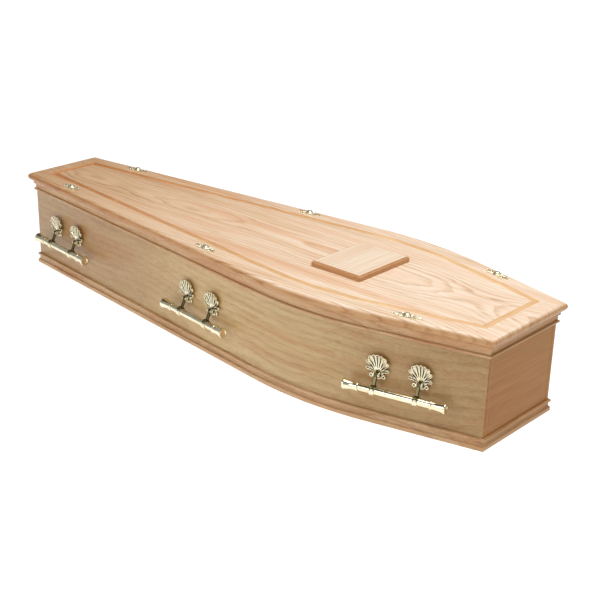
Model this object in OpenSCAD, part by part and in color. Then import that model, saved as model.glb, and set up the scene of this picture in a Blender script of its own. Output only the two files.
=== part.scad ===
// A six-handled oak-veneered coffin of the tapered British pattern.
// X runs along the coffin with the head end at +X, Y across it and Z up.
// The origin is on the floor under the middle of the coffin.
// Left is +Y and right is -Y, as seen from the foot end looking towards the head.

/* [Plan of the lid] */
// Length of the lid, the longest piece
lid_length = 1900; // [1700:10:2100]
// Width of the lid at the foot end
foot_width = 287; // [260:1:320]
// Width of the lid at the head end
head_width = 342; // [310:1:370]
// Width where the two straight runs of a side would meet at the shoulders
shoulder_width = 606; // [560:1:640]
// Distance of the shoulders from the middle of the length, towards the head
shoulder_x = 424; // [400:2:450]
// Radius that the side boards are bent to at the shoulders
shoulder_radius = 1090; // [900:10:1200]

/* [Boards] */
// Height to the top of the lid
lid_top = 320; // [300:1:340]
// Thickness of the lid, whose edge is a full bullnose
lid_thick = 25; // [20:1:30]
// Thickness of the side, end and floor boards
board = 18; // [15:1:22]
// How far the lid overhangs the side and end boards
overhang = 20; // [16:1:22]

/* [Mouldings] */
// Height of the planted mouldings
mould_high = 34; // [30:1:40]
// How far the mouldings stand out from the boards
mould_deep = 7; // [6:0.5:9]
// Distance of the lid's routed groove from the lid's edge, to its middle
groove_inset = 66.5; // [60:0.5:75]
// Width of the lid's routed groove
groove_wide = 17; // [13:1:19]
// Depth of the lid's routed groove
groove_deep = 5; // [3:0.5:6]
// Gap under the base mouldings
base_gap = 1; // [0.5:0.5:3]

/* [Nameplate block] */
// Length of the block along the coffin
block_long = 176; // [150:2:200]
// Width of the block across the coffin
block_wide = 224; // [200:2:240]
// Thickness of the block
block_thick = 15; // [12:1:18]
// Distance of the block's middle from the middle of the coffin
block_x = 384; // [300:2:420]

/* [Lid screws] */
// Distance between one pair of lid screws and the next
screw_pitch = 712; // [690:2:730]
// Place of the middle pair of lid screws
screw_middle = -8; // [-20:1:20]
// Distance of a lid screw from the lid's edge
screw_inset = 28; // [26:0.5:32]
// Length of a screw's ornamental plate
screw_plate_long = 86; // [76:2:96]

/* [Handles] */
// Distance between one pair of handles and the next
handle_pitch = 720; // [700:2:740]
// Place of the middle pair of handles
handle_middle = -20; // [-30:1:10]
// Distance between the two back plates of a handle
plate_pitch = 121; // [110:1:130]
// Height of the handles' pivots above the floor
pivot_z = 147; // [130:1:160]
// Distance of the pivots from the side board
pivot_out = 14; // [12:0.5:15]
// Distance of the bar from the side board as it hangs
bar_out = 31; // [28:1:36]
// Height of the bar above the floor as it hangs
bar_z = 110; // [100:1:115]
// Length of a bar over its flared ends
bar_long = 290; // [260:2:310]
// Radius of a bar
bar_r = 10.5; // [9:0.5:11]
// Radius of a bar's flared ends
flare_r = 15.5; // [14.5:0.5:16.5]
// Angle of each of the palmette's leaves from straight up
leaf_angles = [0, 13, 26, 39, 54, 73, 98]; // [0:1:130]
// Length of each of the palmette's leaves from the pivot
leaf_lengths = [57, 56, 53, 47, 38, 30, 24]; // [20:1:60]

/* [Hidden] */
$fn = 48;
STATIONS = ["foot", "middle", "head"];
SIDES = ["left", "right"];

half_long = lid_length / 2;
lid_under = lid_top - lid_thick;
face = overhang; // the boards' outer faces, as an inset from the lid's edge
back = overhang + board; // the boards' inner faces

// One side of the lid, on the left: foot corner, shoulder and head corner, then
// the two runs' directions and outward normals, and the bend between them.
foot_corner = [-half_long, foot_width / 2];
shoulder = [shoulder_x, shoulder_width / 2];
head_corner = [half_long, head_width / 2];
foot_run = (shoulder - foot_corner) / norm(shoulder - foot_corner);
head_run = (head_corner - shoulder) / norm(head_corner - shoulder);
foot_normal = [-foot_run.y, foot_run.x];
head_normal = [-head_run.y, head_run.x];
bend_middle = shoulder - shoulder_radius * (foot_normal + head_normal) / (1 + foot_normal * head_normal);
bend_start = bend_middle + shoulder_radius * foot_normal;
foot_angle = atan2(foot_run.y, foot_run.x);
head_angle = atan2(head_run.y, head_run.x);

// Half width on a straight run at x, inset from the lid's edge.
function foot_half(x, inset) = foot_corner.y - (inset + (x - foot_corner.x) * foot_normal.x) / foot_normal.y;
function head_half(x, inset) = head_corner.y - (inset + (x - head_corner.x) * head_normal.x) / head_normal.y;
function on_foot_run(x) = x < bend_start.x;
function half_width(x, inset) = on_foot_run(x) ? foot_half(x, inset) : head_half(x, inset);
function run_angle(x) = on_foot_run(x) ? foot_angle : head_angle;

// The line of the left side at an inset from the lid's edge: the foot corner, the bend
// at even steps, and the head corner. The corners are where all the edge work mitres.
bend_steps = 16;
function foot_mitre(inset) = [-half_long + inset, foot_half(-half_long + inset, inset)];
function head_mitre(inset) = [half_long - inset, head_half(half_long - inset, inset)];
function bend_point(step, inset) =
    let (angle = 90 + foot_angle + (head_angle - foot_angle) * step / bend_steps)
    bend_middle + (shoulder_radius - inset) * [cos(angle), sin(angle)];
function side_line(inset) = concat(
    [foot_mitre(inset)], [for (step = [0:bend_steps]) bend_point(step, inset)], [head_mitre(inset)]);
function flip(p) = [p.x, -p.y];
function reversed(list) = [for (i = [len(list) - 1:-1:0]) list[i]];
function outline(inset) = concat(side_line(inset), [for (p = reversed(side_line(inset))) flip(p)]);

// The line of one of the four edges, seen from outside from left to right.
function edge_line(where, inset) =
    where == "left" ? reversed(side_line(inset))
    : where == "right" ? [for (p = side_line(inset)) flip(p)]
    : where == "head" ? [flip(head_mitre(inset)), head_mitre(inset)]
    : [foot_mitre(inset), flip(foot_mitre(inset))];

// Places along the coffin of the three stations, for the screws and the handles.
function station_x(at, middle, pitch) = middle + (at == "foot" ? -pitch : at == "head" ? pitch : 0);

bead_r = 4.2;
scotia_r = 6.5;
fascia = 11;
quirk_out = 5;
groove_r = (pow(groove_wide / 2, 2) + pow(groove_deep, 2)) / (2 * groove_deep);
screw_head_r = 9;
screw_shank_r = 2.5;
screw_hole_r = 2.6;
screw_deep = 22;
screw_plate_thick = 3;
screw_seat_high = 1.2;
plate_thick = 3;
rib_high = 1.8;
pin_r = 2.5;
pin_hole_r = 2.6;
eye_r = 5.5;
eye_long = 9.6;
lug_thick = 4;
lug_gap = 10.4;
ring_r = 14;
ring_long = 14;
arm_run = [bar_out - pivot_out, bar_z - pivot_z];
arm_long = norm(arm_run);
arm_tilt = atan2(arm_run.x, -arm_run.y);

module slab(inset, low, high) {
    translate([0, 0, low]) linear_extrude(high - low) polygon(outline(inset));
}

// Sweeps a section of [inset, z] points along lines that give each point's places. The
// caps list the section's points in faces, and close both ends.
module sweep(lines, section, caps) {
    points = len(section);
    spans = len(lines[0]) - 1;
    corners = [for (j = [0:spans], k = [0:points - 1]) [lines[k][j].x, lines[k][j].y, section[k].y]];
    walls = [for (j = [0:spans - 1], k = [0:points - 1])
        [j * points + k, j * points + (k + 1) % points,
            (j + 1) * points + (k + 1) % points, (j + 1) * points + k]];
    start = [for (cap = caps) [for (n = [0:len(cap) - 1]) cap[n == 0 ? 0 : len(cap) - n]]];
    finish = [for (cap = caps) [for (k = cap) spans * points + k]];
    polyhedron(corners, concat(walls, start, finish), convexity = 6);
}

// Stands things on one side board: u along the board towards the head, v outwards, z up.
module on_side(side, x, inset) {
    mirror([0, side == "right" ? 1 : 0, 0])
        translate([x, half_width(x, inset), 0])
            rotate(run_angle(x)) children();
}

// Points of an arc in a section, from one angle to another in even steps.
function arc(middle, r, from, to, steps) =
    [for (i = [0:steps]) let (angle = from + (to - from) * i / steps) middle + r * [cos(angle), sin(angle)]];

// Section of the planted moulding as [depth from its front, height from its bead's edge]:
// bead, quirk, scotia and a flat fascia, between the two corners of its back. Its caps
// are parted at the quirk.
moulding_section = concat(
    [[mould_deep, 0], [bead_r, 0]],
    arc([bead_r, bead_r], bead_r, 225, 90, 5),
    [[quirk_out, 2 * bead_r]],
    arc([-1.5, mould_high - fascia - scotia_r + 0.6], scotia_r, -22, 66, 5),
    [[0, mould_high - fascia], [0, mould_high], [mould_deep, mould_high]]);
moulding_last = len(moulding_section) - 1;
moulding_quirk = 8;
moulding_caps = [
    [for (k = [0:moulding_quirk]) k],
    [0, moulding_quirk, moulding_last],
    [moulding_last, for (k = [moulding_quirk:moulding_last - 1]) k]];

module floor_board() {
    color("tan") slab(back, 0, board);
}

// A side board is bent at the shoulders and laps over the end boards.
module side_board(side) {
    outer = half_long - face;
    line = concat(
        [[-outer, foot_half(-outer, face)]], [for (i = [0:bend_steps]) bend_point(i, face)],
        [[outer, head_half(outer, face)], [outer, head_half(outer, back)]],
        [for (i = [bend_steps:-1:0]) bend_point(i, back)], [[-outer, foot_half(-outer, back)]]);
    color("burlywood") difference() {
        mirror([0, side == "right" ? 1 : 0, 0]) linear_extrude(lid_under) polygon(line);
        for (at = STATIONS)
            on_side(side, station_x(at, screw_middle, screw_pitch), screw_inset)
                translate([0, 0, lid_under - screw_deep]) cylinder(r = screw_hole_r, h = screw_deep + 1);
    }
}

module end_board(where) {
    outer = half_long - face;
    inner = half_long - back;
    half = where == "head"
        ? [[outer, head_half(outer, back)], [inner, head_half(inner, back)]]
        : [[-inner, foot_half(-inner, back)], [-outer, foot_half(-outer, back)]];
    color("burlywood") linear_extrude(lid_under)
        polygon([half[0], half[1], flip(half[1]), flip(half[0])]);
}

// The lid is a flat board with a bullnosed edge and a routed line inside its screws.
// Its section runs from the underside round the nose and over the groove. The two ends
// of the section are closed by the flat underside and the flat field of the top.
module lid() {
    nose = lid_thick / 2;
    groove_angle = asin(groove_wide / 2 / groove_r);
    section = concat(
        arc([nose, lid_under + nose], nose, 270, 90, 10),
        arc([groove_inset, lid_top + groove_r - groove_deep], groove_r,
            270 - groove_angle, 270 + groove_angle, 6));
    points = len(section);
    rings = [for (p = section) outline(p.x)];
    places = len(rings[0]);
    corners = [for (k = [0:points - 1], j = [0:places - 1]) [rings[k][j].x, rings[k][j].y, section[k].y]];
    walls = [for (k = [0:points - 2], j = [0:places - 1])
        [k * places + j, k * places + (j + 1) % places,
            (k + 1) * places + (j + 1) % places, (k + 1) * places + j]];
    caps = [[for (j = [places - 1:-1:0]) j], [for (j = [0:places - 1]) (points - 1) * places + j]];
    color("wheat") difference() {
        polyhedron(corners, concat(walls, caps), convexity = 6);
        for (side = SIDES, at = STATIONS)
            on_side(side, station_x(at, screw_middle, screw_pitch), screw_inset)
                translate([0, 0, lid_under - 1]) cylinder(r = screw_hole_r, h = lid_thick + 2);
    }
}

// A loose block for a nameplate: a raised field inside a rounded border.
module nameplate_block() {
    edge_r = 5;
    border = 8;
    field_drop = 1.5;
    long = block_long - 2 * edge_r;
    wide = block_wide - 2 * edge_r;
    edge_z = block_thick - field_drop - edge_r;
    color("blanchedalmond") translate([block_x, 0, lid_top]) {
        translate([-block_long / 2 + border, -block_wide / 2 + border, 0])
            cube([block_long - 2 * border, block_wide - 2 * border, block_thick]);
        translate([-block_long / 2, -wide / 2, 0]) cube([block_long, wide, edge_z]);
        translate([-long / 2, -block_wide / 2, 0]) cube([long, block_wide, edge_z]);
        translate([-long / 2, -wide / 2, 0]) cube([long, wide, block_thick - field_drop]);
        for (x = [-1, 1])
            for (y = [-1, 1])
                translate([x * long / 2, y * wide / 2, 0]) {
                    cylinder(r = edge_r, h = edge_z);
                    translate([0, 0, edge_z]) sphere(edge_r);
                }
        for (y = [-1, 1])
            translate([-long / 2, y * wide / 2, edge_z])
                rotate([0, 90, 0]) cylinder(r = edge_r, h = long);
        for (x = [-1, 1])
            translate([x * long / 2, wide / 2, edge_z])
                rotate([90, 0, 0]) cylinder(r = edge_r, h = wide);
    }
}

// A length of the moulding on one side of the coffin, mitred at both of its ends. The
// top one hangs from the lid's underside and the base one stands the other way up.
module moulding(where, low, upside_down) {
    section = [for (p = moulding_section)
        [face - mould_deep + p.x, low + (upside_down ? mould_high - p.y : p.y)]];
    lines = [for (p = section)
        upside_down ? reversed(edge_line(where, p.x)) : edge_line(where, p.x)];
    color("peru") sweep(lines, section, moulding_caps);
}

module top_moulding(where) {
    moulding(where, lid_under - mould_high, false);
}

module base_moulding(where) {
    moulding(where, base_gap, true);
}

// A pressed plate round a lid screw: a round middle between two leaf scrolls, each
// made of lobes at a distance from the plate's tip and with a radius.
module lid_screw_plate(side, at) {
    middle_r = 12;
    spine_wide = 7;
    lobes = [[25, 8.5], [14, 9.5], [4.5, 4.5]];
    tip = screw_plate_long / 2;
    color("gold") on_side(side, station_x(at, screw_middle, screw_pitch), screw_inset)
        translate([0, 0, lid_top])
            difference() {
                union() {
                    linear_extrude(screw_plate_thick) {
                        circle(middle_r);
                        square([2 * (tip - lobes[2][0]), spine_wide], center = true);
                        for (way = [-1, 1], lobe = lobes)
                            translate([way * (tip - lobe[0]), 0]) circle(lobe[1]);
                    }
                    cylinder(r = screw_head_r + 1.5, h = screw_plate_thick + screw_seat_high);
                }
                translate([0, 0, -1])
                    cylinder(r = screw_hole_r, h = screw_plate_thick + screw_seat_high + 2);
            }
}

// A domed screw that passes through its plate and the lid into the side board.
module lid_screw(side, at) {
    dome = 5;
    rim = 1.5;
    sphere_r = (pow(screw_head_r, 2) + pow(dome, 2)) / (2 * dome);
    seat = lid_top + screw_plate_thick + screw_seat_high;
    color("khaki") on_side(side, station_x(at, screw_middle, screw_pitch), screw_inset) {
        intersection() {
            translate([0, 0, seat + rim + dome - sphere_r]) sphere(sphere_r);
            translate([0, 0, seat]) cylinder(r = screw_head_r, h = rim + dome + 1);
        }
        translate([0, 0, lid_under - screw_deep + 1])
            cylinder(r = screw_shank_r, h = seat - lid_under + screw_deep);
    }
}

// Stands things at one of a handle's two pivots, with z measured from the pivot.
module at_pivot(side, at, i) {
    on_side(side, station_x(at, handle_middle, handle_pitch), face)
        translate([(i == 1 ? -1 : 1) * plate_pitch / 2, 0, pivot_z]) children();
}

// The palmette's leaves from the front: blades that widen to round tips. A raised tier
// has narrower and shorter blades.
module leaves(tip_r, root_r, shorter) {
    for (n = [0:len(leaf_angles) - 1])
        for (way = leaf_angles[n] == 0 ? [1] : [-1, 1])
            rotate(way * leaf_angles[n]) {
                reach = leaf_lengths[n] - shorter - tip_r;
                translate([0, reach]) circle(tip_r);
                polygon([[-root_r, 0], [root_r, 0], [tip_r, reach], [-tip_r, reach]]);
            }
}

// A cast palmette plate on the side board, with two lugs for the arm's pivot.
module handle_plate(side, at, i) {
    blade_tip_r = 5.2;
    blade_root_r = 2.5;
    rib_tip_r = 2.8;
    rib_root_r = 1.2;
    rib_shorter = 2.4;
    disc_r = 18;
    boss_r = 11;
    lug_span = lug_gap + 2 * lug_thick;
    color("gold") at_pivot(side, at, i)
        difference() {
            union() {
                translate([0, plate_thick, 0]) rotate([90, 0, 0]) linear_extrude(plate_thick) {
                    leaves(blade_tip_r, blade_root_r, 0);
                    circle(disc_r);
                }
                translate([0, plate_thick + rib_high, 0]) rotate([90, 0, 0])
                    linear_extrude(rib_high + 0.5) leaves(rib_tip_r, rib_root_r, rib_shorter);
                rotate([-90, 0, 0]) cylinder(r = boss_r, h = plate_thick + rib_high + 1);
                for (way = [-1, 1])
                    translate([way * (lug_gap + lug_thick) / 2 - lug_thick / 2, 0, 0]) {
                        translate([0, pivot_out, 0]) rotate([0, 90, 0]) cylinder(r = eye_r, h = lug_thick);
                        translate([0, 0, -eye_r]) cube([lug_thick, pivot_out, 2 * eye_r]);
                    }
            }
            translate([-lug_gap / 2, pivot_out, 0]) rotate([0, 90, 0]) cylinder(r = eye_r + 1, h = lug_gap);
            translate([-lug_span, pivot_out, 0]) rotate([0, 90, 0])
                cylinder(r = pin_hole_r, h = 2 * lug_span);
        }
}

// An arm: an eye with stub pins in the plate's lugs, a strap, and a ring round the bar.
module handle_arm(side, at, i) {
    pin_long = lug_gap + 2 * lug_thick;
    strap_wide = 9;
    strap_thick = 6;
    color("khaki") at_pivot(side, at, i)
        translate([0, pivot_out, 0]) difference() {
            union() {
                rotate([0, 90, 0]) cylinder(r = eye_r, h = eye_long, center = true);
                rotate([0, 90, 0]) cylinder(r = pin_r, h = pin_long, center = true);
                rotate([arm_tilt, 0, 0]) translate([-strap_wide / 2, -strap_thick / 2, -arm_long])
                    cube([strap_wide, strap_thick, arm_long]);
                translate([0, arm_run.x, arm_run.y]) rotate([0, 90, 0])
                    cylinder(r = ring_r, h = ring_long, center = true);
            }
            translate([0, arm_run.x, arm_run.y]) rotate([0, 90, 0])
                cylinder(r = bar_r, h = ring_long + 2, center = true);
        }
}

// A hollow-looking bar with a collar and a flared cap at each end, turned as one.
module handle_bar(side, at) {
    end = bar_long / 2;
    collar_r = bar_r + 3;
    neck_r = bar_r + 0.8;
    color("khaki") on_side(side, station_x(at, handle_middle, handle_pitch), face)
        translate([0, bar_out, bar_z]) rotate([0, 90, 0])
            for (way = [0, 1])
                mirror([0, 0, way])
                    rotate_extrude()
                        polygon([[0, 0], [bar_r, 0], [bar_r, end - 44], [collar_r, end - 43],
                            [collar_r, end - 39], [neck_r, end - 38], [neck_r, end - 30],
                            [(neck_r + flare_r) / 2 - 0.8, end - 14], [flare_r, end - 4],
                            [flare_r, end - 1], [flare_r - 2, end], [0, end]]);
}

floor_board();
for (side = SIDES)
    side_board(side);
for (where = ["head", "foot"])
    end_board(where);
lid();
nameplate_block();
for (where = ["left", "right", "head", "foot"]) {
    top_moulding(where);
    base_moulding(where);
}
for (side = SIDES, at = STATIONS) {
    lid_screw_plate(side, at);
    lid_screw(side, at);
    handle_bar(side, at);
    for (i = [1, 2]) {
        handle_plate(side, at, i);
        handle_arm(side, at, i);
    }
}
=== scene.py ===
from math import asin, atan2, cos, pi, radians, sin, sqrt

import bmesh
import bpy
from mathutils import Matrix, Vector


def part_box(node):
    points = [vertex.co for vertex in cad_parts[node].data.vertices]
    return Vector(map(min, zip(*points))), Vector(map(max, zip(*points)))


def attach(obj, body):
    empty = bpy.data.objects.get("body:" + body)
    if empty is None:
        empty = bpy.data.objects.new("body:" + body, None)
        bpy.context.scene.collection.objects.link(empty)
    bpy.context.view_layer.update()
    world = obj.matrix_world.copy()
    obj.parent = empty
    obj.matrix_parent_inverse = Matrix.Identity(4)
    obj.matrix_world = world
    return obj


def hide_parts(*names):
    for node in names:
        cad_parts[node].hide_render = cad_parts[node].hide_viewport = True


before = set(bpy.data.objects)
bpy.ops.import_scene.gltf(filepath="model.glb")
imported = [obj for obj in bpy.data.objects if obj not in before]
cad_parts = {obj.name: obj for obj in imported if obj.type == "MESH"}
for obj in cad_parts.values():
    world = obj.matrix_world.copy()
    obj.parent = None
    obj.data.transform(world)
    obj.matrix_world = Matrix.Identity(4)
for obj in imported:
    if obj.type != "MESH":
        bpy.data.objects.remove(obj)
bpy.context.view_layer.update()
bpy.ops.object.select_all(action="DESELECT")


# ---------------------------------------------------------------- floor board
# The bottom of the coffin is a plain panel of particle board, let in between
# the sides and the ends and pinned through them. It is bare inside and below.

def linear(code):
    """A colour from its hex code, as the linear values that a shader takes."""
    parts = [int(code[i:i + 2], 16) / 255 for i in (1, 3, 5)]
    return tuple(c / 12.92 if c < 0.04045 else ((c + 0.055) / 1.055) ** 2.4 for c in parts) + (1,)


class Recipe:
    """A material while its nodes are put together: each step returns its result."""

    def __init__(self, name):
        self.material = bpy.data.materials.new(name)
        self.material.use_nodes = True
        self.tree = self.material.node_tree
        self.shader = self.tree.nodes["Principled BSDF"]
        self.place = self.step("ShaderNodeTexCoord").outputs["Object"]

    def step(self, kind, links=(), values=(), **settings):
        """Adds a node: what is linked to its sockets, what is set on them, and its settings."""
        node = self.tree.nodes.new(kind)
        for key, value in settings.items():
            setattr(node, key, value)
        for key, value in dict(values).items():
            node.inputs[key].default_value = value
        for key, source in dict(links).items():
            self.tree.links.new(source, node.inputs[key])
        return node

    def feed(self, socket, source):
        """Sets a plain value on a socket, or links a result to it."""
        if isinstance(source, (int, float, tuple)):
            socket.default_value = source
        elif source is not None:
            self.tree.links.new(source, socket)

    def stretched(self, scale):
        """Places scaled by so many units a metre along each direction."""
        return self.step("ShaderNodeMapping", {0: self.place}, {"Scale": scale}).outputs[0]

    def noise(self, scale, detail=3, rough=0.5):
        """A soft random level, with about so many lumps a metre along each direction."""
        return self.step("ShaderNodeTexNoise", {"Vector": self.stretched(scale)},
                         {"Scale": 1, "Detail": detail, "Roughness": rough}).outputs["Fac"]

    def maths(self, operation, a, b=None):
        node = self.step("ShaderNodeMath", operation=operation)
        for socket, source in zip(node.inputs, (a, b)):
            self.feed(socket, source)
        return node.outputs[0]

    def ramp(self, factor, *stops):
        """Colours along a factor: stops are (place, hex colour or grey level)."""
        node = self.step("ShaderNodeValToRGB", {0: factor})
        points = node.color_ramp.elements
        while len(points) < len(stops):
            points.new(0.5)
        for point, (at, colour) in zip(points, stops):
            point.position = at
            point.color = linear(colour) if isinstance(colour, str) else (colour, colour, colour, 1)
        return node.outputs[0]

    def mix(self, how, factor, a, b):
        """Two colours mixed. The node keeps its factor at 0, its colours at 6 and 7, and the result at 2."""
        node = self.step("ShaderNodeMix", data_type="RGBA", blend_type=how)
        for key, source in ((0, factor), (6, a), (7, b)):
            self.feed(node.inputs[key], source)
        return node.outputs[2]

    def finish(self, colour, rough, height=None, bump=0.2, depth=0.0005, **even):
        """Wires the results to the shader. Values that are even all over go on its sockets."""
        self.feed(self.shader.inputs["Base Color"], colour)
        self.feed(self.shader.inputs["Roughness"], rough)
        if height:
            normal = self.step("ShaderNodeBump", {"Height": height},
                               {"Strength": bump, "Distance": depth}).outputs[0]
            self.feed(self.shader.inputs["Normal"], normal)
        for key, value in even.items():
            self.shader.inputs[key.replace("_", " ")].default_value = value
        return self.material


def particle_board():
    """Pressed chips a few millimetres long, each of its own brown, with finer dust between them."""
    board = Recipe("particle_board")
    chips = board.step("ShaderNodeTexVoronoi", {"Vector": board.stretched((160, 260, 260))},
                       {"Scale": 1, "Randomness": 1}).outputs["Color"]
    tint = board.ramp(chips, (0.1, "#8F7049"), (0.5, "#B6946A"), (0.9, "#CDB084"))
    dust = board.noise((900, 900, 900), 2)
    rough = board.ramp(dust, (0.2, 0.72), (0.8, 0.9))
    return board.finish(tint, rough, dust, bump=0.35, depth=0.0004, Specular_IOR_Level=0.25)


def dress(node, material):
    """Gives a carried-over piece its finish."""
    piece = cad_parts[node]
    if not piece.material_slots:
        piece.data.materials.append(material)
    for slot in piece.material_slots:
        slot.material = material


dress("floor_board", particle_board())


# ---------------------------------------------------------------- side boards
# The two long sides are oak-veneered boards, kerfed and bent at the shoulders
# to one curve, and run past the end boards. The lid's screws bite into them.

HALF_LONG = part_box("lid")[1].x
LID_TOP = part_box("nameplate_block")[0].z
LID_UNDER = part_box("side_left")[1].z
BOARD_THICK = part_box("floor_board")[1].z
BOARD_ARRIS = 0.0008
FOOT_CORNER = Vector((-HALF_LONG, 0.1435))
SHOULDER = Vector((0.424, 0.303))
HEAD_CORNER = Vector((HALF_LONG, 0.171))
BEND_RADIUS = 1.09
BEND_STEPS = 48
OVERHANG = 0.02
RUN_SPARE = 0.08

foot_run = (SHOULDER - FOOT_CORNER).normalized()
head_run = (HEAD_CORNER - SHOULDER).normalized()
foot_normal = Vector((-foot_run.y, foot_run.x))
head_normal = Vector((-head_run.y, head_run.x))
bend_middle = SHOULDER - BEND_RADIUS * (foot_normal + head_normal) / (1 + foot_normal.dot(head_normal))
bend_start = bend_middle + BEND_RADIUS * foot_normal
foot_angle = atan2(foot_run.y, foot_run.x)
bend_angle = foot_angle - atan2(head_run.y, head_run.x)


def half_width(x, inset):
    """Half the width between the lid's straight edges, or lines at an inset from them."""
    return min(corner.y - (inset + (x - corner.x) * normal.x) / normal.y
               for corner, normal in ((FOOT_CORNER, foot_normal), (HEAD_CORNER, head_normal)))


def draw(name, points, closed=True):
    """A new piece drawn point by point, as a line pulled out of one corner."""
    bpy.ops.mesh.primitive_plane_add(size=0.01, location=(0, 0, 0))
    piece = bpy.context.object
    piece.name = piece.data.name = name
    bpy.ops.object.mode_set(mode="EDIT")
    bpy.ops.mesh.select_mode(type="VERT")
    bpy.ops.mesh.select_all(action="SELECT")
    bpy.ops.mesh.merge(type="CENTER")
    bpy.ops.transform.translate(value=points[0])
    for here, there in zip(points, points[1:]):
        bpy.ops.mesh.extrude_vertices_move(TRANSFORM_OT_translate={"value": there - here})
    bpy.ops.mesh.select_all(action="SELECT")
    if closed:
        bpy.ops.mesh.edge_face_add()
    return piece


def pick(piece, kind, test):
    """Selects the corners, edges or faces whose middle passes a test."""
    bpy.ops.mesh.select_mode(type=kind)
    bpy.ops.mesh.select_all(action="DESELECT")
    mesh = bmesh.from_edit_mesh(piece.data)
    for part in {"VERT": mesh.verts, "EDGE": mesh.edges, "FACE": mesh.faces}[kind]:
        spot = part.co if kind == "VERT" else (
            part.calc_center_median() if kind == "FACE" else (part.verts[0].co + part.verts[1].co) / 2)
        if test(spot, part):
            part.select_set(True)
    mesh.select_flush_mode()
    bmesh.update_edit_mesh(piece.data)


def push(value):
    """Pulls what is selected out by so much, with new walls behind it."""
    bpy.ops.mesh.extrude_region_move(TRANSFORM_OT_translate={"value": value})


def saw(point, normal):
    """Cuts off all that lies past a plane, and closes the cut."""
    bpy.ops.mesh.select_all(action="SELECT")
    bpy.ops.mesh.bisect(plane_co=point, plane_no=normal, use_fill=True, clear_outer=True, threshold=1e-6)


def done(piece, smooth=25):
    """Leaves edit mode with the faces outwards, and softens shading under an angle."""
    bpy.ops.mesh.select_all(action="SELECT")
    bpy.ops.mesh.remove_doubles(threshold=2e-6)
    bpy.ops.mesh.normals_make_consistent(inside=False)
    bpy.ops.object.mode_set(mode="OBJECT")
    bpy.ops.object.shade_smooth_by_angle(angle=radians(smooth))
    bpy.ops.object.select_all(action="DESELECT")
    return piece


def run_round(name, section):
    """Draws a section square to the foot run, and runs it along the left side. It passes both corners,
    where it is sawn off later."""
    long = (bend_start - FOOT_CORNER).length + RUN_SPARE
    start = bend_start - foot_run * long
    inwards = -foot_normal
    points = [Vector((start.x + inwards.x * p.x, start.y + inwards.y * p.x, p.y)) for p in section]
    piece = draw(name, points)
    bpy.ops.mesh.select_mode(type="FACE")
    bpy.ops.mesh.select_all(action="SELECT")
    push((foot_run * long).to_3d())
    bpy.ops.mesh.spin(steps=BEND_STEPS, angle=bend_angle, center=bend_middle.to_3d(), axis=(0, 0, 1))
    turned = bmesh.from_edit_mesh(piece.data)
    reach = max(face.calc_center_median().x for face in turned.faces if face.select)
    if reach < SHOULDER.x:
        raise RuntimeError("the side was bent the wrong way")
    push((head_run * ((HEAD_CORNER - SHOULDER).length + RUN_SPARE)).to_3d())
    return piece


def copy_of(pattern, name, place=None):
    """Another of the same, with a mesh of its own, put in its place."""
    piece = pattern.copy()
    piece.data = pattern.data.copy()
    piece.name = piece.data.name = name
    bpy.context.collection.objects.link(piece)
    if place is not None:
        piece.data.transform(place)
        if place.determinant() < 0:
            piece.data.flip_normals()
    return piece


OTHER_SIDE = Matrix.Diagonal((1, -1, 1, 1))
HEART_DIP = 0.16
# The height over which the painted shade on the lid's rounded nose comes in.
NOSE_SHADE_FADE = 0.006


def towards_head(recipe, x):
    """How far along the coffin a place is, from the foot (0) to the head (1)."""
    return recipe.maths("ADD", recipe.maths("MULTIPLY", x, 0.5 / HALF_LONG), 0.5)


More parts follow.
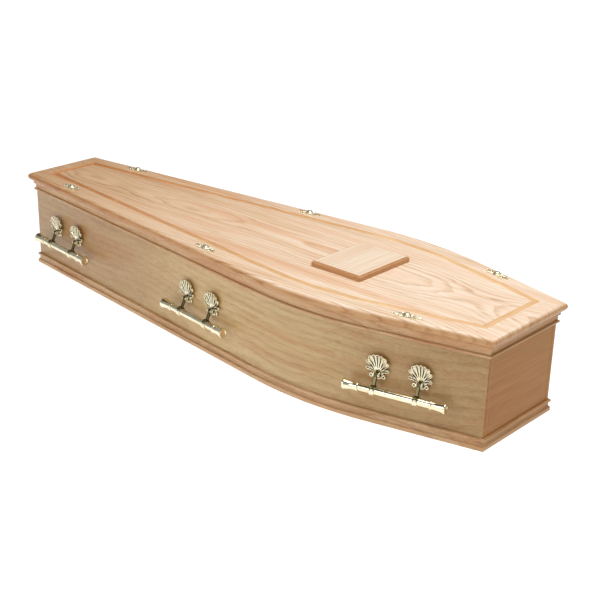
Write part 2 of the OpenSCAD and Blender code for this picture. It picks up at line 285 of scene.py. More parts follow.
def oak_veneer(name, pale, tan, dark, figure, ring_gap, across=(0, 1, 0), along=(), contrast=0.62,
               nose_shade_level=None, crossways=False, gloss=1.0):
    """Crown-cut oak: growth rings cut at a slant, fine fibres, pores and a slow drift of colour. Figure is
    how far the heart wanders, and across is the direction from ring to ring. Along gives tints from the
    foot (0) to the head (1), painted light and shade for the lamps' fall-off along the coffin. Below the
    nose shade level the wood is painted darker, as painted shade on a rounded edge. Crossways lays the
    grain across the coffin, and gloss is the share of the lacquer's shine that is left."""
    oak = Recipe(name)
    spot = oak.step("ShaderNodeSeparateXYZ", {0: oak.place}).outputs
    if crossways:
        swapped = {"X": spot["Y"], "Y": spot["X"], "Z": spot["Z"]}
        oak.place = oak.step("ShaderNodeCombineXYZ", swapped).outputs[0]
    width = oak.step("ShaderNodeVectorMath", {0: oak.place}, {1: across},
                     operation="DOT_PRODUCT").outputs["Value"]
    # The heart sways along the board and dips below it, so that the rings close into arches.
    sway = oak.maths("MULTIPLY", oak.maths("SUBTRACT", oak.noise((1.3, 5, 5), 2), 0.5), figure)
    heart = oak.maths("ADD", width, sway)
    dip = oak.maths("MULTIPLY", oak.noise((2.1, 0.8, 0.8), 1), HEART_DIP)
    radius = oak.maths("SQRT", oak.maths("ADD", oak.maths("POWER", oak.maths("ABSOLUTE", heart), 2.0),
                                         oak.maths("POWER", dip, 2.0)))
    ragged = oak.maths("MULTIPLY", oak.noise((9, 60, 60), 3, 0.6), 0.9)
    ring = oak.maths("FRACT", oak.maths("ADD", oak.maths("DIVIDE", radius, ring_gap), ragged))
    late = oak.ramp(ring, (0.0, 0.0), (0.42, 0.12), (0.86, 1.0), (1.0, 0.0))
    fibre = oak.noise((7, 330, 330), 4, 0.62)
    broad = oak.noise((1.1, 16, 16), 3, 0.55)
    strength = oak.ramp(oak.noise((1.6, 9, 9), 2), (0.3, 0.2), (0.7, 0.85))
    grain = oak.maths("ADD", oak.maths("MULTIPLY", oak.maths("MULTIPLY", late, strength), contrast),
                      oak.maths("MULTIPLY", oak.maths("SUBTRACT", fibre, 0.42), 1.25))
    colour = oak.ramp(grain, (0.0, pale), (0.42, tan), (1.0, dark))
    drift = oak.ramp(broad, (0.3, "#F2D2B6"), (0.5, "#FFFFFF"), (0.72, "#E9D2B4"))
    colour = oak.mix("MULTIPLY", 0.75, colour, drift)
    pores = oak.ramp(oak.noise((38, 1500, 1500), 2, 0.5), (0.62, 0.0), (0.70, 1.0))
    pores = oak.maths("MULTIPLY", pores, oak.maths("ADD", oak.maths("MULTIPLY", late, 0.4), 0.15))
    colour = oak.mix("MIX", pores, colour, linear(dark))
    # Painted light and shade along the coffin: the colour is multiplied by a ramp from foot to head, standing
    # for the lamps' fall-off.
    if along:
        colour = oak.mix("MULTIPLY", 1.0, colour, oak.ramp(towards_head(oak, spot["X"]), *along))
    # Painted shade: below the given level the colour is multiplied darker, for the nose turning away from the
    # light.
    if nose_shade_level:
        below = oak.maths("DIVIDE", oak.maths("SUBTRACT", nose_shade_level, spot["Z"]), NOSE_SHADE_FADE)
        colour = oak.mix("MULTIPLY", 1.0, colour, oak.ramp(below, (0.0, "#FFFFFF"), (1.0, "#CDAE82")))
    rough = oak.ramp(fibre, (0.3, 0.34), (0.7, 0.5))
    height = oak.maths("SUBTRACT", oak.maths("MULTIPLY", fibre, 0.5), pores)
    return oak.finish(colour, rough, height, bump=0.12, depth=0.0003, Coat_Weight=0.25 * gloss,
                      Coat_Roughness=0.28, Specular_IOR_Level=0.4 * gloss)


# The side veneer is painted lightest at the middle and darker towards both ends, as a painted pool of light.
side_veneer = oak_veneer("side_veneer", "#CCB17D", "#BA9866", "#8C6840", figure=0.05, ring_gap=0.019,
                         across=(0.004, 0, 1), contrast=0.4,
                         along=((0.05, "#E1CFBB"), (0.33, "#E2D3C4"), (0.5, "#FFFFFF"), (0.71, "#F2F0F0"),
                                (0.93, "#D9CDC4")))
# The veneer of the ends is lapped over the side boards' end grain as well.
end_veneer = oak_veneer("end_veneer", "#A97539", "#9C692F", "#7E5226", figure=0.03, ring_gap=0.03,
                        across=(0, 0, 1), contrast=0.25, crossways=True, gloss=0.35)

board_section = [Vector(p) for p in (
    (OVERHANG, 0), (OVERHANG, LID_UNDER), (OVERHANG + BOARD_THICK, LID_UNDER), (OVERHANG + BOARD_THICK, 0))]
side_left = run_round("side_board_left", board_section)
end_x = HALF_LONG - OVERHANG
saw((-end_x, 0, 0), (-1, 0, 0))
saw((end_x, 0, 0), (1, 0, 0))
pick(side_left, "EDGE", lambda spot, edge: abs(abs(spot.x) - end_x) < 1e-5
     and abs(spot.z - LID_UNDER / 2) < 1e-4)
bpy.ops.mesh.bevel(offset=BOARD_ARRIS, segments=2, affect="EDGES")
pick(side_left, "FACE", lambda spot, face: abs(spot.x) > end_x - 0.001)
side_left.data.materials.append(side_veneer)
side_left.data.materials.append(end_veneer)
side_left.active_material_index = 1
bpy.ops.object.material_slot_assign()
done(side_left)
side_right = copy_of(side_left, "side_board_right", OTHER_SIDE)
for side, piece in (("left", side_left), ("right", side_right)):
    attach(piece, "coffin")
    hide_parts("side_" + side)


# ------------------------------------------------------------------ end boards
# The head and foot ends are flat boards with a plainer, straighter veneer, glued
# and pinned between the sides. They are cut to the sides' slant.

for end in ("head_end", "foot_end"):
    dress(end, end_veneer)


# ------------------------------------------------------------------- mouldings
# A moulding of fascia, scotia, quirk and bead is planted under the lid and, the
# other way up, round the base. It is mitred at the corners and bent at the shoulders.

MOULD_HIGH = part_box("top_moulding_head")[1].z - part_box("top_moulding_head")[0].z
MOULD_FRONT = HALF_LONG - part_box("base_moulding_head")[1].x
BASE_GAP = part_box("base_moulding_head")[0].z
MOULD_BACK = OVERHANG
BEAD = 0.0042
QUIRK_IN = 0.0058
QUIRK_HIGH = 0.0007
SCOTIA = 0.0062
SCOTIA_OUT = 0.0010
SCOTIA_UP = 0.0002
FASCIA = 0.011
FASCIA_ARRIS = 0.0006
MITRE_SPARE = 0.02


def arc(middle, radius, start, end, steps):
    """Points round an arc, with its angles in degrees."""
    turns = [radians(start + (end - start) * i / steps) for i in range(steps + 1)]
    return [Vector((middle[0] + radius * cos(a), middle[1] + radius * sin(a))) for a in turns]


def moulding_section(low, upside_down):
    """The section as points of inset from the lid's edge and height above the floor."""
    back = MOULD_BACK - MOULD_FRONT
    under_fascia = MOULD_HIGH - FASCIA
    points = [Vector((back, 0.0)), Vector((BEAD, 0.0))]
    points += arc((BEAD, BEAD), BEAD, 262, 98, 12)
    points += [Vector((QUIRK_IN, 2 * BEAD)), Vector((QUIRK_IN, 2 * BEAD + QUIRK_HIGH))]
    points += arc((-SCOTIA_OUT, under_fascia - SCOTIA + SCOTIA_UP), SCOTIA, -24, 72, 10)
    points += [Vector((FASCIA_ARRIS, under_fascia)), Vector((0.0, under_fascia + FASCIA_ARRIS))]
    points += [Vector((0.0, MOULD_HIGH)), Vector((back, MOULD_HIGH))]
    return [Vector((MOULD_FRONT + p.x, low + (MOULD_HIGH - p.y if upside_down else p.y))) for p in points]


def mitre_plane(end):
    """The plane in which the mouldings of a side and an end meet: a point, and a
    normal that points off the side's moulding."""
    corner = HEAD_CORNER if end > 0 else FOOT_CORNER
    inset = 0.1
    inner = Vector((corner.x - end * inset, half_width(corner.x - end * inset, inset)))
    along = (corner - inner).normalized()
    normal = Vector((along.y, -along.x, 0)) * end
    return corner.to_3d(), normal


oak_along = oak_veneer("oak_moulding", "#CBA67A", "#B88E63", "#8C5F3A", figure=0.02, ring_gap=0.02,
                       across=(0, 0.5, 1))
oak_across = oak_veneer("oak_moulding_across", "#C39C6E", "#AE8257", "#845633", figure=0.02, ring_gap=0.02,
                        across=(0, 0.5, 1), crossways=True, gloss=0.4)

for level, low, upside_down in (("top", LID_UNDER - MOULD_HIGH, False), ("base", BASE_GAP, True)):
    section = moulding_section(low, upside_down)
    left = run_round(f"{level}_moulding_of_left", section)
    for end in (-1, 1):
        saw(*mitre_plane(end))
    done(left)
    left.data.materials.append(oak_along)
    lengths = {"left": left, "right": copy_of(left, f"{level}_moulding_of_right", OTHER_SIDE)}
    for where, end in (("head", 1), ("foot", -1)):
        reach = (HEAD_CORNER if end > 0 else FOOT_CORNER).y + MITRE_SPARE
        points = [Vector((end * (HALF_LONG - p.x), -reach, p.y)) for p in section]
        piece = draw(f"{level}_moulding_of_{where}", points)
        bpy.ops.mesh.select_mode(type="FACE")
        bpy.ops.mesh.select_all(action="SELECT")
        push((0, 2 * reach, 0))
        point, normal = mitre_plane(end)
        saw(point, -normal)
        saw(OTHER_SIDE @ point, OTHER_SIDE @ -normal)
        done(piece)
        piece.data.materials.append(oak_across)
        lengths[where] = piece
    for where, piece in lengths.items():
        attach(piece, "coffin")
        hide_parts(f"{level}_moulding_{where}")


# ------------------------------------------------------------------------- lid
# The lid is one veneered board with a full bullnose all round. A cove is routed
# through the veneer inside the screws, and shows the warmer stained core.

NOSE = (LID_TOP - LID_UNDER) / 2
GROOVE_INSET = 0.0665
GROOVE_HALF = 0.0085
GROOVE_DEEP = 0.005
EASED = 0.0005
NOSE_STEPS = 12
GROOVE_STEPS = 12
SCREW_LAND = 0.02


def lid_edge():
    """Points round the lid's widest line, against the clock from above."""
    bend = [bend_middle + (Matrix.Rotation(-bend_angle * i / BEND_STEPS, 2) @ (BEND_RADIUS * foot_normal))
            for i in range(BEND_STEPS + 1)]
    left = [HEAD_CORNER] + bend[::-1] + [FOOT_CORNER]
    right = [Vector((p.x, -p.y)) for p in left[::-1]]
    return [Vector((p.x, p.y, LID_UNDER + NOSE)) for p in left + right]


def step_in(profile):
    """Insets the picked face again and again, to follow a profile of inset and rise."""
    for (at, level), (next_at, next_level) in zip(profile, profile[1:]):
        bpy.ops.mesh.inset(thickness=next_at - at, depth=next_level - level,
                           use_even_offset=True, use_boundary=True)


def facing(piece, up):
    """Turns the one picked face up or down."""
    mesh = bmesh.from_edit_mesh(piece.data)
    face = next(f for f in mesh.faces if f.select)
    face.normal_update()
    if (face.normal.z > 0) != up:
        bpy.ops.mesh.flip_normals()


def routed_core():
    """Stained core in thin level layers, redder towards the foot."""
    core = Recipe("routed_core")
    layers = core.noise((12, 12, 300), 3)
    x = core.step("ShaderNodeSeparateXYZ", {0: core.place}).outputs["X"]
    wood = core.ramp(layers, (0.25, "#D2A676"), (0.75, "#E8C598"))
    redder = core.ramp(towards_head(core, x), (0.0, "#DDB186"), (0.75, "#FFFFFF"))
    rough = core.ramp(layers, (0.2, 0.4), (0.8, 0.55))
    return core.finish(core.mix("MULTIPLY", 1.0, wood, redder), rough, layers, bump=0.1, depth=0.0003,
                       Specular_IOR_Level=0.35)


lid = draw("lid_board", lid_edge())
bpy.ops.mesh.select_mode(type="FACE")
bpy.ops.mesh.select_all(action="SELECT")
facing(lid, True)
nose = [(NOSE * (1 - cos(a)), NOSE * sin(a))
        for a in (pi / 2 * i / NOSE_STEPS for i in range(NOSE_STEPS + 1))]
cove_radius = (GROOVE_HALF ** 2 + GROOVE_DEEP ** 2) / (2 * GROOVE_DEEP)
cove_angle = asin(GROOVE_HALF / cove_radius)
cove = [(GROOVE_INSET + cove_radius * sin(a), NOSE + cove_radius - GROOVE_DEEP - cove_radius * cos(a))
        for a in (cove_angle * (2 * i / GROOVE_STEPS - 1) for i in range(GROOVE_STEPS + 1))]
cove[0] = (cove[0][0], NOSE - EASED)
cove[-1] = (cove[-1][0], NOSE - EASED)
lips = [(GROOVE_INSET + way * (GROOVE_HALF + EASED), NOSE) for way in (-1, 1)]
step_in(nose + [lips[0]] + cove + [lips[1]])
pick(lid, "EDGE", lambda spot, edge: edge.is_boundary)
bpy.ops.mesh.edge_face_add()
bpy.ops.mesh.select_mode(type="FACE")
facing(lid, False)
step_in(nose)
inside_nose = GROOVE_INSET - SCREW_LAND
pick(lid, "FACE", lambda spot, face: abs(spot.y) < half_width(spot.x, inside_nose)
     and abs(spot.x) < HALF_LONG - inside_nose and LID_UNDER + NOSE < spot.z < LID_TOP - 1e-5)
# Painted shade on the lid: its veneer is painted darker towards the foot, and darker on the bullnose below
# its top.
lid_veneer = oak_veneer("lid_veneer", "#F1DDC9", "#E2C5A6", "#AD7F57", figure=0.07, ring_gap=0.0125,
                        along=((0.0, "#EACFA9"), (0.35, "#F8EBDA"), (0.75, "#FFFFFF")),
                        contrast=0.78, nose_shade_level=LID_TOP - 0.001)
lid.data.materials.append(lid_veneer)
lid.data.materials.append(routed_core())
lid.active_material_index = 1
bpy.ops.object.material_slot_assign()
done(lid, 30)
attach(lid, "coffin")
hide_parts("lid")


# ------------------------------------------------------------- nameplate block
# A loose block stands on the lid for the engraved plate, and is left bare. Its
# pale face is veneered across the coffin, inside a dark stained rounded border.

block_low, block_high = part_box("nameplate_block")
BLOCK_EDGE = 0.0048
BLOCK_BORDER = 0.0066
FIELD_RISE = 0.0015
FIELD_EASE = 0.0004
block_size = block_high - block_low
block_size.z -= FIELD_RISE
block_middle = (block_low + block_high) / 2 - Vector((0, 0, FIELD_RISE / 2))


def blank(name, size, middle):
    """A plain blank of a size, to be shaped where it stands."""
    bpy.ops.mesh.primitive_cube_add(size=1, location=middle, scale=size)
    piece = bpy.context.object
    piece.name = piece.data.name = name
    bpy.ops.object.transform_apply(location=True, rotation=True, scale=True)
    return piece


block = blank("nameplate", block_size, block_middle)
bpy.ops.object.mode_set(mode="EDIT")
pick(block, "EDGE", lambda spot, edge: spot.z > block_low.z + 0.001)
bpy.ops.mesh.bevel(offset=BLOCK_EDGE, segments=8, affect="EDGES", profile=0.5)
pick(block, "FACE", lambda spot, face: face.normal.z > 0.999)
bpy.ops.mesh.inset(thickness=BLOCK_BORDER - BLOCK_EDGE, depth=0)
push((0, 0, FIELD_RISE - FIELD_EASE))
bpy.ops.mesh.inset(thickness=FIELD_EASE, depth=FIELD_EASE)
block_face = oak_veneer("block_face", "#EBD8C2", "#DFC7AB", "#BC9C7A", figure=0.05, ring_gap=0.014,
                        contrast=0.45, crossways=True)
block_border = oak_veneer("block_border", "#C28F5E", "#B07C4E", "#885731", figure=0.03, ring_gap=0.02,
                          across=(0, 0, 1), contrast=0.2)
block.data.materials.append(block_border)
block.data.materials.append(block_face)
block.active_material_index = 1
bpy.ops.object.material_slot_assign()
done(block, 30)
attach(block, "coffin")
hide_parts("nameplate_block")


# ------------------------------------------------------------------ lid screws
# Six domed screws hold the lid down, each through a pressed brass plate of two
# leaf scrolls. They are turned, plated in pale brass and polished.

# How far the painted shade on the brass looks round for open space, and how soft its edge is.
SHADE_REACH = 0.006


def pale_brass(name, roughness, shade_above=None, clear=0.82):
    """Polished plate, with painted shade that darkens its hollows, found by how open each spot is to its
    surroundings. It is bright where it is as open as clear or more. Where a height is given, it is also
    painted darker above it, as painted shade."""
    brass = Recipe(name)
    openness = brass.step("ShaderNodeAmbientOcclusion", values={"Distance": SHADE_REACH}, samples=8,
                          only_local=True).outputs["AO"]
    plating = brass.ramp(brass.noise((60, 60, 60), 3), (0.35, "#F4ECD2"), (0.7, "#E8DCB6"))
    # Painted shade: above the given height the brass is painted a dark dull olive, standing for the shade on
    # the arm's upper part.
    if shade_above:
        height = brass.step("ShaderNodeSeparateXYZ", {0: brass.place}).outputs["Z"]
        upper_shade = brass.ramp(height, (shade_above, 0.0), (shade_above + SHADE_REACH, 1.0))
        plating = brass.mix("MIX", upper_shade, plating, linear("#645E42"))
    # Painted shade: the hollows are painted a near-black olive, standing for the shade that falls in them.
    unshaded = brass.ramp(openness, (clear - 0.36, 0.0), (clear, 1.0))
    colour = brass.mix("MIX", unshaded, linear("#2A2416"), plating)
    wear = brass.noise((240, 240, 240), 2)
    rough = brass.ramp(wear, (0.3, roughness), (0.7, roughness + 0.07))
    return brass.finish(colour, rough, wear, bump=0.03, depth=0.0002, Metallic=1.0)


# The scroll plates' hollows take more of the painted shade than the turned parts.
brass_pressed = pale_brass("pale_brass_scroll", 0.2, clear=0.6)
brass_turned = pale_brass("pale_brass_bar", 0.07)
STATIONS = ("foot", "middle", "head")
SCREW_INSET = 0.028


def on_side(side, x, inset, out=0.0, z=0.0):
    """Where a piece stands on a side: its X along the side, its Y outwards."""
    way = 1 if side == "left" else -1
    angle = foot_angle if x < bend_start.x else foot_angle - bend_angle
    spin = angle if side == "left" else pi - angle
    return (Matrix.Translation((x, way * half_width(x, inset), z)) @ Matrix.Rotation(spin, 4, "Z")
            @ Matrix.Translation((0, out, 0)))


LEAF_STEPS = 14
LEAF_ROOT = 0.18
LEAF_SWELL = 0.82
LEAF_WIDEST = 0.86
LEAF_TIP = 1.015


def leaf(name, long, wide, curl, thick, rim, dish):
    """A leaf from its root at the origin up along Z, with a rim round a hollow, facing Y. Wide is half its
    width, and its middle line curls to one side by an angle over its length."""
    middle, heading, spots = Vector((0, 0)), 0.0, []
    for i in range(LEAF_STEPS + 1):
        t = i / LEAF_STEPS
        swell = wide * (LEAF_ROOT + LEAF_SWELL * min(1.0, t / LEAF_WIDEST))
        if t > LEAF_WIDEST:
            swell *= sqrt(max(0.0, 1 - ((t - LEAF_WIDEST) / (LEAF_TIP - LEAF_WIDEST)) ** 2))
        side_on = Vector((cos(heading), -sin(heading)))
        spots.append((middle - side_on * swell, middle + side_on * swell))
        heading = radians(curl) * t
        middle = middle + Vector((sin(heading), cos(heading))) * long / LEAF_STEPS
    ring = [a for a, b in spots] + [b for a, b in spots[::-1]]
    piece = draw(name, [Vector((p.x, 0, p.y)) for p in ring])
    bpy.ops.mesh.select_mode(type="FACE")
    bpy.ops.mesh.select_all(action="SELECT")
    push((0, thick, 0))
    bpy.ops.mesh.select_all(action="SELECT")
    bpy.ops.mesh.normals_make_consistent(inside=False)
    pick(piece, "FACE", lambda spot, face: face.normal.y > 0.9)
    bpy.ops.mesh.inset(thickness=rim * 0.5, depth=rim * 0.35)
    bpy.ops.mesh.inset(thickness=rim * 0.5, depth=-rim * 0.2)
    bpy.ops.mesh.inset(thickness=min(rim, wide * 0.25), depth=-dish)
    return done(piece)


def cast(pieces, name, grain, share, soften=2):
    """Melts pieces that overlap into one casting: one skin of a fine grain, softened, then thinned to a share
    of its faces."""
    bpy.ops.object.select_all(action="DESELECT")
    for piece in pieces:
        piece.select_set(True)
    bpy.context.view_layer.objects.active = pieces[0]
    bpy.ops.object.join()
    whole = bpy.context.object
    whole.name = whole.data.name = name
    skin = whole.modifiers.new("skin", "REMESH")
    skin.mode = "VOXEL"
    skin.voxel_size = grain
    soft = whole.modifiers.new("soft", "SMOOTH")
    soft.factor = 0.5
    soft.iterations = soften
    thin = whole.modifiers.new("thin", "DECIMATE")
    thin.ratio = share
    for modifier in ("skin", "soft", "thin"):
        bpy.ops.object.modifier_apply(modifier=modifier)
    bpy.ops.object.shade_smooth()
    bpy.ops.object.select_all(action="DESELECT")
    return whole


def turned(name, profile, steps=40):
    """A turned piece: a profile of radius and height spun round Z."""
    piece = draw(name, [Vector((r, 0, z)) for r, z in profile], closed=False)
    bpy.ops.mesh.spin(steps=steps, angle=2 * pi, center=(0, 0, 0), axis=(0, 0, 1))
    return done(piece, 40)


def turn_by(piece, matrix):
    """Turns or moves the mesh of a piece, which stays at the origin."""
    piece.data.transform(matrix)
    return piece


# The leaves of one half of a plate: angle, length, how far out the root is, and curl.
SCROLL_LEAVES = ((0, 0.019, 0.024, 0), (52, 0.013, 0.022, 50), (-52, 0.013, 0.022, -50),
                 (28, 0.017, 0.006, 50), (-28, 0.017, 0.006, -50))
SCROLL_BAND = Vector((0.066, 0.0062, 0.002))
SEAT = 0.0042
DOME_R = 0.0082
DOME_RISE = 0.0026
DOME_STEPS = 7
LAID_FLAT = Matrix(((0, 0, 1, 0), (1, 0, 0, 0), (0, 1, 0, 0), (0, 0, 0, 1)))

scroll_parts = []
for way in (-1, 1):
    for n, (angle, long, start, curl) in enumerate(SCROLL_LEAVES):
        blade = leaf(f"scroll_{way}_{n}", long, 0.0034, curl, thick=0.0026, rim=0.0011, dish=0.0008)
        lay = (Matrix.Rotation(pi if way < 0 else 0, 4, "Z") @ Matrix.Translation((start, 0, 0))
               @ Matrix.Rotation(radians(angle), 4, "Z") @ LAID_FLAT)
        scroll_parts.append(turn_by(blade, lay))
scroll_parts.append(turned("scroll_middle", [(0, 0), (0.0118, 0), (0.0122, 0.0016), (0.0112, 0.0030),
                                             (0.0104, SEAT), (0, SEAT)]))
scroll_parts.append(blank("scroll_band", SCROLL_BAND, (0, 0, SCROLL_BAND.z / 2)))
scroll_plate = cast(scroll_parts, "scroll_plate", grain=0.00045, share=0.30)
scroll_plate.data.materials.append(brass_pressed)

dome = [(0, 0), (0.0088, 0), (0.0090, 0.0004), (0.0090, 0.0014), (DOME_R, 0.0018), (0.0084, 0.0026)]
dome += [(DOME_R * cos(a), 0.0028 + DOME_RISE * sin(a))
         for a in (pi / 2 * i / DOME_STEPS for i in range(DOME_STEPS + 1))]
dome[-1] = (0.0, dome[-1][1])
screw_head = turned("screw_head", dome, 32)
screw_head.data.materials.append(brass_turned)

for side in ("left", "right"):
    for at in STATIONS:
        low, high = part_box(f"lid_screw_{side}_{at}")
        place = on_side(side, (low.x + high.x) / 2, SCREW_INSET, z=LID_TOP)
        plate = copy_of(scroll_plate, f"scroll_plate_{side}_{at}", place)
        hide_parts(f"lid_screw_plate_{side}_{at}")
        head = copy_of(screw_head, f"screw_head_{side}_{at}", place @ Matrix.Translation((0, 0, SEAT)))
        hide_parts(f"lid_screw_{side}_{at}")
        for piece in (plate, head):
            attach(piece, "coffin")
for pattern in (scroll_plate, screw_head):
    bpy.data.objects.remove(pattern)


# --------------------------------------------------------------- handle plates
# Each handle hangs from two palmettes of cast brass, screwed to the side from within.
# Nine hollowed leaves fan out from a boss, over two small scrolls and a split knuckle.

PLATE_PITCH = 0.121
HANDLE_MIDDLE = -0.02
HANDLE_PITCH = 0.72
PIVOT_OUT = 0.014
PIVOT_Z = 0.147
EYE_R = 0.0055
LUG_THICK = 0.004
LUG_GAP = 0.0104
LUG_NECK = 0.94
# The leaves from the middle one outwards: angle, length, half width and curl.
LEAVES = ((0, 0.057, 0.0074, 0), (14, 0.0565, 0.0076, -6), (27, 0.0550, 0.0074, -8),
          (38, 0.0490, 0.0064, 4), (50, 0.0370, 0.0054, 36))
LEAF_TILT = 8
CURL_R = 0.0042
CURL_WIRE_R = 0.0021
CURL_X = 0.0175
CURL_OUT = 0.0060
CURL_Z = -0.0060


def knuckle(name, radius, long, x, middle=(0, 0)):
    """A short round bar along X with eased ends."""
    bpy.ops.mesh.primitive_cylinder_add(radius=radius, depth=long, vertices=32,
                                        location=(x, middle[0], middle[1]), rotation=(0, pi / 2, 0))
    piece = bpy.context.object
    piece.name = piece.data.name = name
    bpy.ops.object.transform_apply(location=True, rotation=True, scale=True)
    bpy.ops.object.mode_set(mode="EDIT")
    pick(piece, "FACE", lambda spot, face: abs(face.normal.x) > 0.9)
    bpy.ops.mesh.inset(thickness=0.0006, depth=0.0)
    bpy.ops.mesh.inset(thickness=0.0006, depth=-0.0004)
    return done(piece)


def pivot(side, station, way):
    """The foot of a palmette on a side, at one end (-1 or 1) of the handle of a station."""
    x = HANDLE_MIDDLE + (STATIONS.index(station) - 1) * HANDLE_PITCH
    along = way * PLATE_PITCH / 2 * (1 if side == "left" else -1)
    return on_side(side, x, OVERHANG, z=PIVOT_Z) @ Matrix.Translation((along, 0, 0))


palmette_parts = []
for angle, long, wide, curl in LEAVES:
    for way in ((1,) if angle == 0 else (-1, 1)):
        blade = leaf(f"leaf_{angle}_{way}", long, wide, way * curl, thick=0.0048, rim=0.0017, dish=0.0036)
        tilt = Matrix.Rotation(radians(-LEAF_TILT), 4, "X")
        palmette_parts.append(turn_by(blade, Matrix.Rotation(way * radians(angle), 4, "Y") @ tilt))
for way in (-1, 1):
    bpy.ops.mesh.primitive_torus_add(major_radius=CURL_R, minor_radius=CURL_WIRE_R, major_segments=28,
                                     minor_segments=12, location=(way * CURL_X, CURL_OUT, CURL_Z),
                                     rotation=(pi / 2, 0, 0))
    bpy.ops.object.transform_apply(location=True, rotation=True, scale=True)
    palmette_parts.append(bpy.context.object)
    lug_x = way * (LUG_GAP + LUG_THICK) / 2
    palmette_parts.append(knuckle(f"lug_{way}", EYE_R, LUG_THICK, lug_x, (PIVOT_OUT, 0)))
    palmette_parts.append(blank(f"neck_{way}", (LUG_THICK, PIVOT_OUT, 2 * EYE_R * LUG_NECK),
                                (lug_x, PIVOT_OUT / 2, 0)))
boss = turned("boss", [(0, 0), (0.0165, 0), (0.0158, 0.0030), (0.0120, 0.0046), (0, 0.0052)])
palmette_parts.append(turn_by(boss, Matrix.Rotation(-pi / 2, 4, "X")))
palmette = cast(palmette_parts, "palmette", grain=0.0005, share=0.24, soften=1)
palmette.data.materials.append(pale_brass("pale_brass_cast", 0.14))

for side in ("left", "right"):
    for at in STATIONS:
        for i, way in ((1, -1), (2, 1)):
            plate = copy_of(palmette, f"palmette_{side}_{at}_{i}", pivot(side, at, way))
            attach(plate, "coffin")
            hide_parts(f"handle_plate_{side}_{at}_{i}")
bpy.data.objects.remove(palmette)


# ------------------------------------------------------------ handle arms, bars
# An arm is a cast strap that swings in each palmette's knuckle, and ends in a ring
# round the bar. The bar is turned, with a collar and a flared cap at each end.

bar_low, bar_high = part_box("handle_bar_left_middle")
BAR_LONG = 0.29
BAR_R = 0.0105
NECK_R = BAR_R + 0.0010
COLLAR_R = BAR_R + 0.0027
FLARE_R = 0.0155
FLARE_LIP = 0.0042
FLARE_LONG = 0.0310
FLARE_STEPS = 10
BAR_OUT = 0.031
BAR_Z = (bar_low.z + bar_high.z) / 2
EYE_LONG = 0.0096
RING_R = 0.014
RING_LONG = 0.014
RING_ARRIS = 0.0012
STRAP_WIDE = 0.0098
STRAP_THICK = 0.0064
STRAP_TAPER = 0.86
drop = Vector((BAR_OUT - PIVOT_OUT, BAR_Z - PIVOT_Z))

eye = knuckle("arm_eye", EYE_R, EYE_LONG, 0)
strap = blank("arm_strap", (STRAP_WIDE, STRAP_THICK, drop.length), (0, 0, -drop.length / 2))
bpy.ops.object.mode_set(mode="EDIT")
pick(strap, "EDGE", lambda spot, edge: abs(spot.x) > 0.4 * STRAP_WIDE and abs(spot.y) > 0.4 * STRAP_THICK)
bpy.ops.mesh.bevel(offset=STRAP_THICK / 4, segments=3, affect="EDGES")
pick(strap, "VERT", lambda spot, vert: spot.z > -0.001)
bpy.ops.transform.resize(value=(STRAP_TAPER, 1, 1))
done(strap)
turn_by(strap, Matrix.Rotation(atan2(drop.x, -drop.y), 4, "X"))
# Half of the ring as points of radius and height, from the bore round to a shallow waist.
ring_half = [(BAR_R, RING_LONG / 2), (RING_R - RING_ARRIS, RING_LONG / 2),
             (RING_R, RING_LONG / 2 - RING_ARRIS), (RING_R, 0.0048), (RING_R - 0.0009, 0.0036)]
ring = turned("arm_ring", [(r, -z) for r, z in ring_half] + ring_half[::-1] + [(BAR_R, -RING_LONG / 2)])
turn_by(ring, Matrix.Translation((0, drop.x, drop.y)) @ Matrix.Rotation(pi / 2, 4, "Y"))
arm = cast([eye, strap, ring], "arm", grain=0.0005, share=0.25, soften=1)
# The arm is painted dark above just over the ring's bottom, as painted shade.
arm.data.materials.append(pale_brass("pale_brass_arm", 0.2, shade_above=0.113))

# One end of the bar as points of radius and distance from the tip: cap, flare, neck and collar.
tip = [(0, 0.0022), (0.0066, 0.0022), (0.0082, 0.0006), (FLARE_R - 0.0012, 0), (FLARE_R - 0.0003, 0.0005),
       (FLARE_R, 0.0016), (FLARE_R, FLARE_LIP)]
tip += [(NECK_R + (FLARE_R - NECK_R) * (1 - t) ** 2.2, FLARE_LIP + FLARE_LONG * t)
        for t in (i / FLARE_STEPS for i in range(1, FLARE_STEPS + 1))]
tip += [(NECK_R, 0.0372), (BAR_R + 0.0022, 0.0382), (COLLAR_R, 0.0395), (COLLAR_R, 0.0425),
        (BAR_R + 0.0022, 0.0438), (BAR_R, 0.0446)]
bar_half = [(r, BAR_LONG / 2 - deep) for r, deep in tip]
bar = turned("bar", bar_half + [(r, -z) for r, z in bar_half[::-1]], 48)
turn_by(bar, Matrix.Rotation(pi / 2, 4, "Y"))
bar.data.materials.append(brass_turned)

for side in ("left", "right"):
    for at in STATIONS:
        body = f"handle_{side}_{at}"
        for i, way in ((1, -1), (2, 1)):
            place = pivot(side, at, way) @ Matrix.Translation((0, PIVOT_OUT, 0))
            piece = copy_of(arm, f"arm_{side}_{at}_{i}", place)
            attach(piece, body)
            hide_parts(f"handle_arm_{side}_{at}_{i}")
        x = HANDLE_MIDDLE + (STATIONS.index(at) - 1) * HANDLE_PITCH
        piece = copy_of(bar, f"bar_{side}_{at}", on_side(side, x, OVERHANG, BAR_OUT, BAR_Z))
        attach(piece, body)
        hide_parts(f"handle_bar_{side}_{at}")
for pattern in (arm, bar):
    bpy.data.objects.remove(pattern)


# -------------------------------------------------------------- floor and light
# A plain pale floor, a big soft light overhead and a weak fill on the coffin's right.
# Dim walls and a darker ceiling give the brass and the lacquer something to mirror.

FLOOR_WIDE = 200
WALL_TOP = (0.60, (0.34, 0.35, 0.36, 1))
CEILING = (0.70, (0.08, 0.08, 0.07, 1))

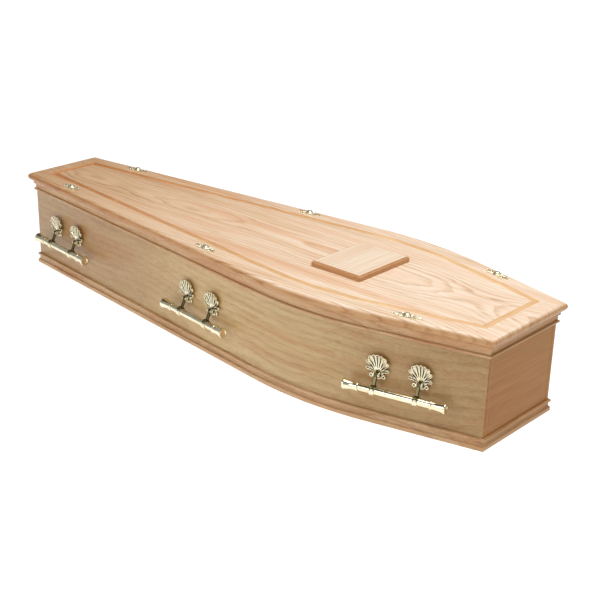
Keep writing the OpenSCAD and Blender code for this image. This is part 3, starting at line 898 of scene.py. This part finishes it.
bpy.ops.mesh.primitive_plane_add(size=FLOOR_WIDE, location=(0, 0, 0))
floor = bpy.context.object
floor.name = "studio_floor"
paper = Recipe("studio_white")
paper.finish(paper.ramp(paper.noise((2, 2, 2), 1), (0, 0.28), (1, 0.32)), 0.9,
             Emission_Color=(1, 1, 1, 1), Emission_Strength=0.95)
floor.data.materials.append(paper.material)


def softbox(name, place, aim, size, power):
    """A flat soft light of a width and height, turned from its place towards a point."""
    bpy.ops.object.light_add(type="AREA", location=place)
    light = bpy.context.object
    light.name = name
    light.rotation_euler = (Vector(aim) - Vector(place)).to_track_quat("-Z", "Y").to_euler()
    light.data.shape = "RECTANGLE"
    light.data.size, light.data.size_y = size
    light.data.energy = power


softbox("overhead", (0.75, 0.2, 2.6), (0.15, 0, 0.2), (3.6, 2.4), 88)
softbox("front_fill", (-0.2, -2.9, 1.2), (0.05, 0, 0.15), (2.0, 1.2), 20)

world = bpy.data.worlds.new("studio")
world.use_nodes = True
around = world.node_tree
heading = around.nodes.new("ShaderNodeTexCoord")
steepness = around.nodes.new("ShaderNodeSeparateXYZ")
walls = around.nodes.new("ShaderNodeValToRGB")
for point, (at, colour) in zip(walls.color_ramp.elements, (WALL_TOP, CEILING)):
    point.position = at
    point.color = colour
around.links.new(heading.outputs["Generated"], steepness.inputs[0])
around.links.new(steepness.outputs["Z"], walls.inputs[0])
around.links.new(walls.outputs[0], around.nodes["Background"].inputs["Color"])
bpy.context.scene.world = world
bpy.context.scene.view_settings.view_transform = "Standard"


# ---------------------------------------------------------------------- camera
# The camera stands well off the head end's right corner and above the lid, and
# looks down on the coffin through a long lens.

CAMERA_PLACE = (2.4182, -2.5514, 1.5690)
CAMERA_YAW = 41.04
CAMERA_DOWN = 23.50
CAMERA_ROLL = 1.60
FILM_WIDE = 36
FOCAL_LENGTH = 74.3
LENS_SHIFT = (-0.0122, 0.0261)

lens = bpy.data.cameras.new("camera")
lens.sensor_width = FILM_WIDE
lens.lens = FOCAL_LENGTH
lens.shift_x, lens.shift_y = LENS_SHIFT
camera = bpy.data.objects.new("camera", lens)
camera.matrix_world = (Matrix.Translation(CAMERA_PLACE) @ Matrix.Rotation(radians(CAMERA_YAW), 4, "Z")
                       @ Matrix.Rotation(radians(90 - CAMERA_DOWN), 4, "X")
                       @ Matrix.Rotation(radians(CAMERA_ROLL), 4, "Z"))
bpy.context.collection.objects.link(camera)
bpy.context.scene.camera = camera
